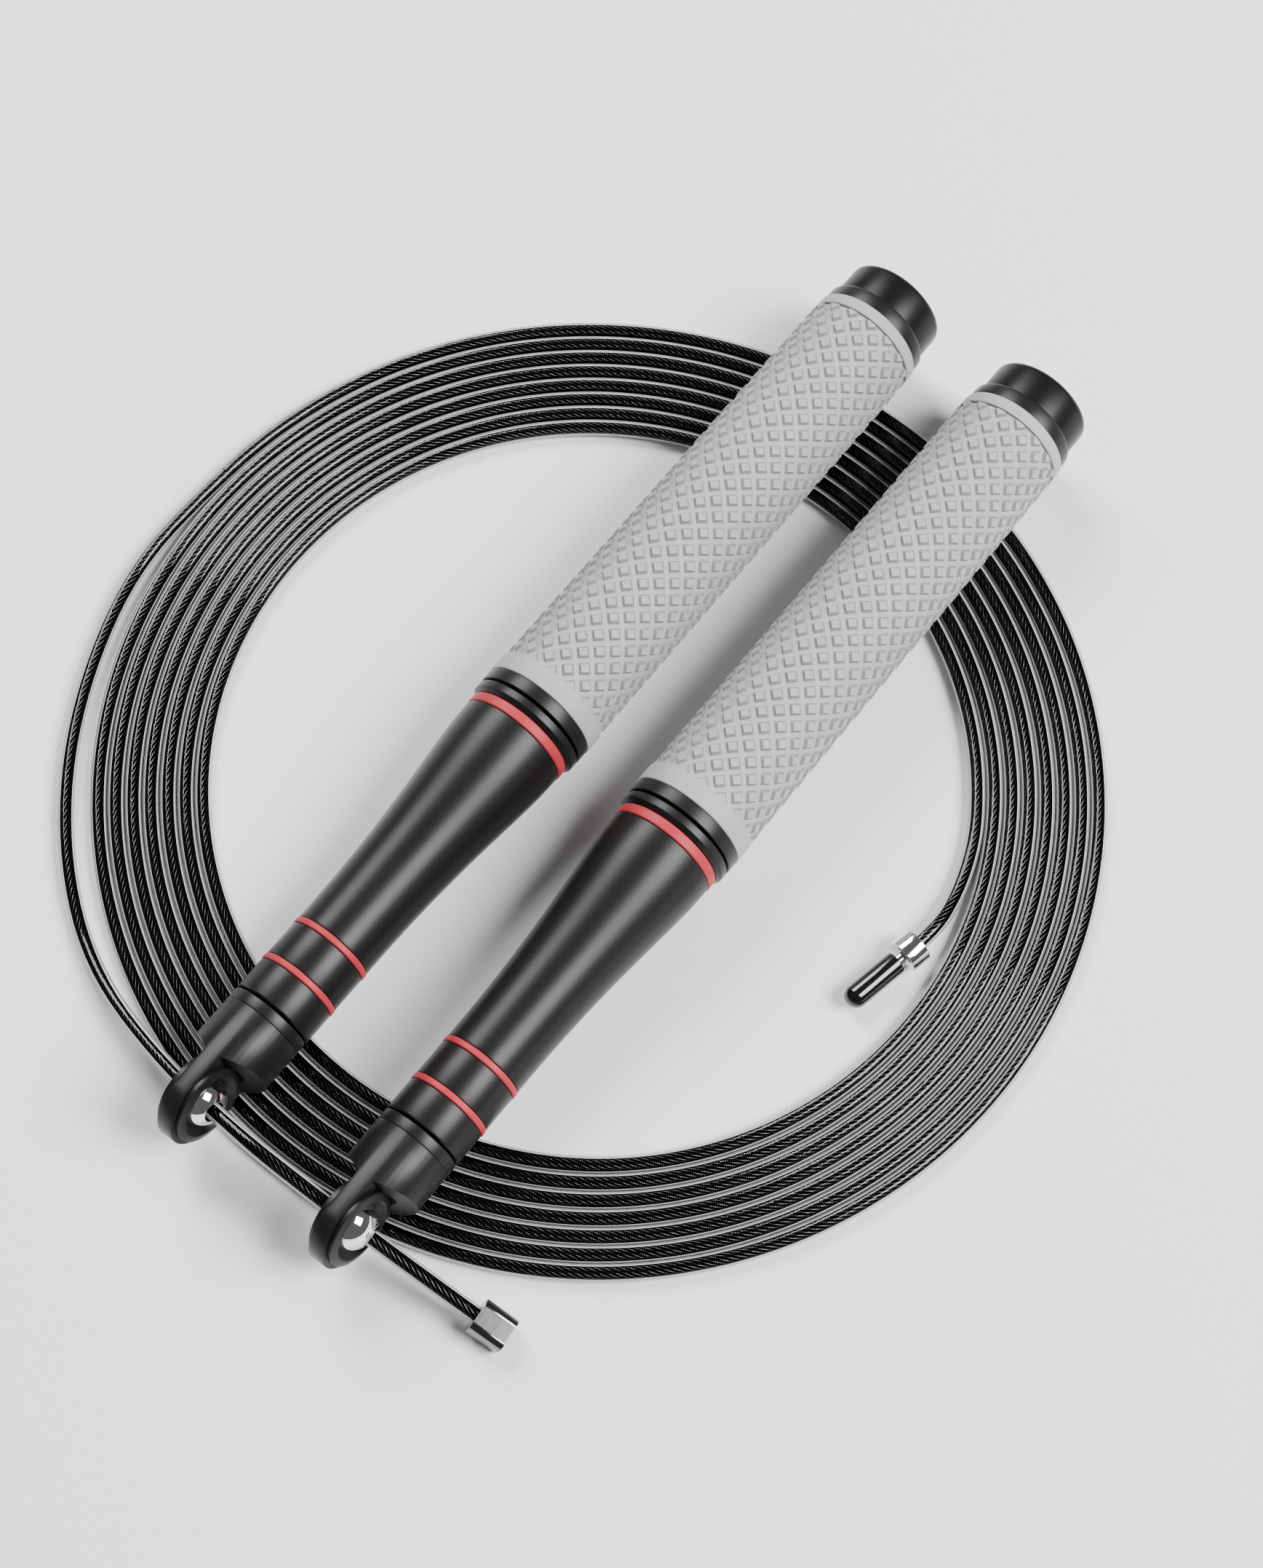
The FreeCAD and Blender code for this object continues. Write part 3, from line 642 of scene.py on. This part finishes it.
# ---------------------------------------------------------------- fittings on the cable
@dataclass
class Fittings:
    """Ferrule, stop collar, bumper and grub screw."""

    floor: FloorFrame
    tail_end: Place = Cable.tail[-1]
    tail_before: Place = Cable.tail[-2]
    collar_r: float = 2.65
    collar_start: float = -2.4
    collar_end: float = 0.8
    bore_r: float = 1.29
    pin_r: float = 1.05
    pin_end: float = 6.8
    bumper_r: float = 1.8
    bumper_start: float = 1.9
    bumper_nose: float = 9.8
    nose_steps: int = 16
    names = ("ferrule", "stop_collar_turned", "bumper_bullet", "set_screw")

    def tail_frame(self) -> Matrix:
        """From millimetres along the cable's end, +X outwards, to the row frame."""
        end, before = Vector(self.tail_end), Vector(self.tail_before)
        x = (end - before).normalized()
        y = Vector((0, 0, 1)).cross(x).normalized()
        turn = Matrix((x, y, x.cross(y))).transposed().to_4x4()
        return Matrix.Translation(self.floor.point(*self.tail_end)) @ Matrix.Scale(MM, 4) @ turn

    def build(self) -> None:
        """Make and dress each fitting."""
        place = self.tail_frame()
        start, end, outer = self.collar_start, self.collar_end, self.collar_r
        collar = lathe("stop_collar_turned", (
            (start, self.bore_r, 0.05), (start, outer, 0.14), (end, outer, 0.14), (end, self.pin_r, 0.1),
            (self.pin_end, self.pin_r, 0.1), (self.pin_end, 0, 0), (0, 0, 0), (0, self.bore_r, 0)),
            place, Finish.COLLAR, 80)
        bullet = [(self.bumper_start, 0, 0), (self.bumper_start, self.bumper_r, 0.15)]
        for k in range(self.nose_steps + 1):
            a = math.pi / 2 * k / self.nose_steps
            bullet.append((self.bumper_nose + self.bumper_r * math.sin(a), self.bumper_r * math.cos(a), 0))
        bumper = lathe("bumper_bullet", bullet, place, Finish.BUMPER, 64)
        for piece, node, slot in ((collar, "stop_collar", "collar_chrome"),
                                  (bumper, "bumper", "bumper_rubber")):
            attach(piece, "rope")
            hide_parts(node)
        dress_node("ferrule", Finish.FERRULE, 0.12 * MM)
        dress_node("set_screw", Finish.STEEL)
        LOG.info("fittings: ferrule, stop collar, bumper, grub screw")


# ---------------------------------------------------------------- handles
@dataclass
class Handle:
    """One handle: swivel, body, rings, grip and cap, in millimetres from its ball."""

    side: Side
    eye_roll: float = 9.5
    ball_r: float = 4.0
    bore_r: float = 1.6
    neck_r: float = 6.375
    neck_end: float = 29.5
    flare_end: float = 69.5
    flare_r: float = 8.67
    flare_ease: tuple[float, float] = (0.56, 0.22)
    flare_steps: int = 40
    slim_rings: tuple[float, float] = (21.4, 28.35)
    slim_half: float = 0.525
    wide_ring: float = 70.85
    wide_half: float = 0.825
    ring_proud: float = 0.12
    ring_edge: float = 0.25
    ring_depth: float = 0.8
    groove: float = 0.08
    groove_edge: float = 0.06
    groove_depth: float = 0.7
    body_start: float = 15.6
    screw_bore_r: float = 4.0
    flange_start: float = 72.4
    flange_end: float = 73.6
    flange_r: float = 9.3
    seat_r: float = 7.45
    sleeve_r: float = 7.4
    body_end: float = 160.7
    hollow_start: float = 60.0
    hollow_r: float = 5.6
    spigot_r: float = 3.5
    ball_steps: int = 40

    def named(self, base: str) -> str:
        """The piece's name for this side."""
        return "%s_%s" % (base, self.side.value)

    def place(self) -> Matrix:
        """From the handle's frame in millimetres to the row frame."""
        joint = record_joint("head_%s_roll" % self.side.value)
        x = Vector(joint["axis"]).normalized()
        y = Vector((0, 0, 1)).cross(x).normalized()
        turn = Matrix((x, y, x.cross(y))).transposed().to_4x4()
        roll = Matrix.Rotation(-math.radians(self.eye_roll), 4, "X")
        return Matrix.Translation(Vector(joint["pos_m"])) @ Matrix.Scale(MM, 4) @ turn @ roll

    def add(self, base: str, node: str, slot: str, outline: Outline, finish: Finish) -> bpy.types.Object:
        """Turn a piece of the handle and put it on its body.

        Args:
            base: Name of the piece without its side.
            node: The CAD node that it stands for, without its side.
            slot: The record's slot; not used.
            outline: Its outline.
            finish: Its finish.

        Returns:
            The object.
        """
        piece = lathe(self.named(base), outline, self.place(), finish)
        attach(piece, self.named("handle"))
        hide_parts(self.named(node))
        return piece

    def flare(self) -> list[tuple[float, float, float]]:
        """Points of the body's flare."""
        span = self.flare_end - self.neck_end
        xs = (self.neck_end, self.neck_end + self.flare_ease[0] * span,
              self.flare_end - self.flare_ease[1] * span, self.flare_end)
        rs = (self.neck_r, self.neck_r, self.flare_r, self.flare_r)
        points = []
        for k in range(self.flare_steps + 1):
            t = k / self.flare_steps
            w = ((1 - t) ** 3, 3 * t * (1 - t) ** 2, 3 * t * t * (1 - t), t ** 3)
            points.append((sum(a * b for a, b in zip(w, xs)), sum(a * b for a, b in zip(w, rs)), 0))
        return points

    def build_body(self) -> None:
        """Turned body with its grooves, and the coloured rings in them."""
        edge, groove, depth = self.groove_edge, self.groove, self.groove_depth
        outline = [(self.body_start, self.screw_bore_r, 0), (self.body_start, self.neck_r, 0.3)]
        for x in self.slim_rings:
            lo, hi = x - self.slim_half - groove, x + self.slim_half + groove
            outline += [(lo, self.neck_r, edge), (lo, self.neck_r - depth, 0),
                        (hi, self.neck_r - depth, 0), (hi, self.neck_r, edge)]
        outline += self.flare()
        lo, hi = self.wide_ring - self.wide_half - groove, self.wide_ring + self.wide_half + groove
        outline += [(lo, self.flare_r, edge), (lo, self.flare_r - depth, 0),
                    (hi, self.flare_r - depth, 0), (hi, self.flare_r + 0.03, edge),
                    (self.flange_start, self.flange_r, 0.12), (self.flange_end, self.flange_r, 0.15),
                    (self.flange_end, self.seat_r, 0), (self.body_end, self.sleeve_r, 0),
                    (self.body_end, self.hollow_r, 0), (self.hollow_start, self.hollow_r, 0),
                    (self.hollow_start, self.screw_bore_r, 0)]
        self.add("body_turned", "handle_body", "black_anodised", outline, Finish.BLACK)
        rings = []
        for x in self.slim_rings:
            rings.append(lathe(self.named("ring_%d" % round(x)),
                               self.band(x, self.slim_half, self.neck_r), self.place(), Finish.RED))
        for ring in rings:
            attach(ring, self.named("handle"))
        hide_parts(self.named("slim_rings"))
        self.add("ring_wide", "wide_ring", "red_anodised",
                 self.band(self.wide_ring, self.wide_half, self.flare_r), Finish.RED)

    def band(self, x: float, half: float, seat_r: float) -> Outline:
        """Outline of a coloured ring that stands a little above its seat."""
        lo, hi, top = x - half, x + half, seat_r + self.ring_proud
        low, edge = top - self.ring_depth, self.ring_edge
        return (lo, low, 0), (lo, top, edge), (hi, top, edge), (hi, low, 0)

    def build_collars(self) -> None:
        """Front collar, rear collar and end cap."""
        self.add("collar_front", "front_collar", "black_anodised",
                 ((74.0, self.seat_r, 0), (74.0, 9.35, 0.16), (76.1, 9.35, 0.12),
                  (76.1, self.seat_r, 0)), Finish.BLACK)
        self.add("collar_rear", "rear_collar", "black_anodised",
                 ((158.4, self.seat_r, 0), (158.4, 8.95, 0.1), (160.8, 8.95, 0.5),
                  (160.8, self.seat_r, 0)), Finish.BLACK)
        self.add("cap_turned", "end_cap", "cap_black",
                 ((160.8, self.spigot_r, 0), (160.8, 8.3, 0.1), (166.5, 8.3, 1.0), (166.5, 0, 0),
                  (165.6, 0, 0), (165.6, self.spigot_r, 0)), Finish.CAP)

    def build_dust_ring(self) -> None:
        """Narrow ring behind the head; it turns with the head."""
        ring = lathe(self.named("dust_ring_turned"), (
            (13.5, 2.02, 0), (13.5, 6.35, 0.18), (15.3, 6.35, 0.18), (15.3, 2.95, 0), (16.4, 2.95, 0),
            (16.4, 2.02, 0)), self.place(), Finish.BLACK)
        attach(ring, self.named("head"))
        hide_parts(self.named("dust_ring"))

    def build_ball(self) -> None:
        """Chrome ball with its bore along the cable."""
        joint = record_joint("ball_%s_turn" % self.side.value)
        axis = Vector(joint["axis"]).normalized()
        other = Vector((0, 0, 1)).cross(axis).normalized()
        turn = Matrix((axis, other, axis.cross(other))).transposed().to_4x4()
        place = Matrix.Translation(Vector(joint["pos_m"])) @ Matrix.Scale(MM, 4) @ turn
        start = math.asin(self.bore_r / self.ball_r)
        outline = []
        last = self.ball_steps
        for k in range(last + 1):
            a = start + (math.pi - 2 * start) * k / last
            edge = 0.15 if k in (0, last) else 0
            outline.append((-self.ball_r * math.cos(a), self.ball_r * math.sin(a), edge))
        ball = lathe(self.named("ball_polished"), outline, place, Finish.CHROME)
        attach(ball, self.named("ball"))
        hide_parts(self.named("swivel_ball"))

    def build_grip(self) -> None:
        """Silicone sleeve with its pattern and smooth bands."""
        grip = Grip(self.place()).build(self.named("grip_patterned"))
        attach(grip, self.named("handle"))
        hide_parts(self.named("grip_sleeve"))

    def dress_nodes(self) -> None:
        """Finishes of the CAD nodes that stay."""
        for base in ("swivel_head", "socket_ring"):
            dress_node(self.named(base), Finish.BLACK, 0.22 * MM)
        for base in ("axle_screw", "axle_spacer", "inner_races", "outer_races", "bearing_balls",
                     "retaining_clip"):
            dress_node(self.named(base), Finish.STEEL)

    def build(self) -> None:
        """Build and dress the whole handle."""
        self.build_body()
        self.build_collars()
        self.build_dust_ring()
        self.build_ball()
        self.build_grip()
        self.dress_nodes()
        LOG.info("handle %s: body, rings, collars, cap, ball, grip and swivel head", self.side.value)


@dataclass
class Grip:
    """Silicone sleeve: small flat-topped pyramids in slanting rows between smooth bands, with painted shade
    on the pyramids' walls.
    """

    place: Matrix
    start: float = 76.1
    end: float = 158.4
    front_band: float = 3.2
    rear_band: float = 2.0
    valley_r: float = 8.88
    tip: float = 0.41
    around: int = 16
    base_side: float = 1.82
    top_side: float = 1.16
    inner_r: float = 7.5
    front_r: float = 9.46
    rear_r: float = 9.21
    rear_groove: float = 0.25
    rear_groove_r: float = 8.7

    def pattern(self) -> tuple[list[Vector], list[tuple[int, ...]]]:
        """Unrolled pattern: x along, y around, z height.

        Returns:
            Points and faces, in millimetres.
        """
        pitch = math.tau * (self.valley_r + 0.2) / self.around
        side = pitch / math.sqrt(2)
        base, top = (side - self.base_side) / 2, (side - self.top_side) / 2
        cuts = ((0.0, 0.0), (base, 0.0), (top, 1.0), (side - top, 1.0), (side - base, 0.0))
        x0, x1 = self.start + self.front_band, self.end - self.rear_band - self.rear_groove
        reach = (x1 - x0) / side * 0.75 + self.around * 0.8
        cells = int(reach) + 2
        half = math.sqrt(0.5)
        bm = bmesh.new()
        lines = [(i * side + at, up) for i in range(-cells, cells) for at, up in cuts]
        rows = []
        for a, up_a in lines:
            rows.append([bm.verts.new((x0 + (a + b) * half, (a - b) * half, self.tip * min(up_a, up_b)))
                         for b, up_b in lines])
        width = pitch * self.around
        for i in range(len(lines) - 1):
            for j in range(len(lines) - 1):
                corners = (rows[i][j], rows[i + 1][j], rows[i + 1][j + 1], rows[i][j + 1])
                xs, ys = [v.co.x for v in corners], [v.co.y for v in corners]
                if max(xs) > x0 and min(xs) < x1 and max(ys) > 0 and min(ys) < width:
                    bm.faces.new(corners)
        for point, way in (((x0, 0, 0), (-1, 0, 0)), ((x1, 0, 0), (1, 0, 0)), ((0, 0, 0), (0, -1, 0)),
                           ((0, width, 0), (0, 1, 0))):
            every = list(bm.verts) + list(bm.edges) + list(bm.faces)
            bmesh.ops.bisect_plane(bm, geom=every, plane_co=point, plane_no=way, clear_outer=True)
        loose = [v for v in bm.verts if not v.link_faces]
        bmesh.ops.delete(bm, geom=loose, context="VERTS")
        bm.verts.index_update()
        points = [Vector((v.co.x, v.co.y / width, v.co.z)) for v in bm.verts]
        faces = [tuple(v.index for v in f.verts) for f in bm.faces]
        bm.free()
        return points, faces

    def build(self, name: str) -> bpy.types.Object:
        """Make the sleeve.

        Args:
            name: Name of the piece.

        Returns:
            The object.
        """
        flat, faces = self.pattern()
        vertices = []
        for p in flat:
            turn, r = math.tau * p.y, self.valley_r + p.z
            vertices.append(self.place @ Vector((p.x, r * math.cos(turn), r * math.sin(turn))))
        pattern = new_object(name, vertices, faces, Finish.GRIP, 14.0)
        # Steep faces, the walls of the pyramids, get the darker silicone as painted shade.
        pattern.data.materials.append(Finish.GRIP_WALL.material())
        for polygon in pattern.data.polygons:
            heights = [flat[i].z for i in polygon.vertices]
            polygon.material_index = int(max(heights) - min(heights) > 0.5 * self.tip)
        x0, x1 = self.start + self.front_band, self.end - self.rear_band - self.rear_groove
        bands = lathe(name + "_bands", (
            (self.start, self.inner_r, 0), (self.start, self.front_r, 0.25), (x0, self.front_r, 0.3),
            (x0, self.valley_r - 0.05, 0), (x1, self.valley_r - 0.05, 0),
            (x1 + self.rear_groove, self.rear_groove_r, 0), (x1 + self.rear_groove, self.rear_r, 0.2),
            (self.end, self.rear_r, 0.25), (self.end, self.inner_r, 0)),
            self.place, Finish.GRIP, 128)
        with bpy.context.temp_override(active_object=pattern, object=pattern,
                                       selected_editable_objects=[pattern, bands]):
            bpy.ops.object.join()
        return pattern


# ---------------------------------------------------------------- stage
@dataclass
class Studio:
    """Pale floor, soft lights and the camera."""

    floor: FloorFrame
    camera_place: Place = (5.62, -185.21, 405.0)
    camera_tilt: float = 24.4
    lens: float = 67.5
    floor_half: float = 3000.0
    floor_drop: float = 0.05
    world_colour: Colour = (0.9, 0.9, 0.9)
    world_strength: float = 0.15

    def build_camera(self) -> None:
        """Camera over the front of the coil, looking down on it."""
        data = bpy.data.cameras.new("camera")
        data.lens = self.lens
        data.sensor_width = 36.0
        data.clip_start = 0.01
        camera = bpy.data.objects.new("camera", data)
        camera.location = self.floor.point(*self.camera_place)
        camera.rotation_euler = (math.radians(self.camera_tilt), 0, 0)
        bpy.context.scene.collection.objects.link(camera)
        bpy.context.scene.camera = camera

    def lamp(self, name: str, place: Place, size: float, power: float) -> None:
        """Soft lamp that faces the coil's centre.

        Args:
            name: Its name.
            place: In millimetres, in the floor frame.
            size: Its side, in millimetres.
            power: In watts.
        """
        data = bpy.data.lights.new(name, "AREA")
        data.shape = "RECTANGLE"
        data.size = data.size_y = size * MM
        data.energy = power
        lamp = bpy.data.objects.new(name, data)
        lamp.location = self.floor.point(*place)
        aim = self.floor.origin() - lamp.location
        lamp.rotation_euler = aim.to_track_quat("-Z", "Y").to_euler()
        bpy.context.scene.collection.objects.link(lamp)

    def build(self) -> None:
        """Make floor, world and lamps."""
        half = self.floor_half * MM
        low = self.floor.origin() - Vector((0, 0, self.floor_drop * MM))
        corners = [low + Vector((x * half, y * half, 0)) for x, y in ((-1, -1), (1, -1), (1, 1), (-1, 1))]
        backdrop = new_object("backdrop", corners, [(0, 1, 2, 3)], Finish.PAPER)
        world = bpy.data.worlds.new("studio")
        world.use_nodes = True
        background = world.node_tree.nodes["Background"]
        background.inputs["Color"].default_value = (*self.world_colour, 1.0)
        background.inputs["Strength"].default_value = self.world_strength
        bpy.context.scene.world = world
        self.lamp("key", (1024, -313, 1189), 800.0, 56.0)
        self.lamp("fill", (-512, 964, 1170), 760.0, 32.0)
        LOG.info("stage: floor, world, two lamps")


def main() -> None:
    """Build the scene."""
    logging.basicConfig(level=logging.INFO, format="%(message)s")
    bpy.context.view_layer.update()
    floor = FloorFrame()
    studio = Studio(floor)
    studio.build_camera()
    fittings = Fittings(floor)
    fittings.build()
    Cable(floor).build()
    for side in Side:
        Handle(side).build()
    studio.build()


if __name__ == "__main__":
    main()
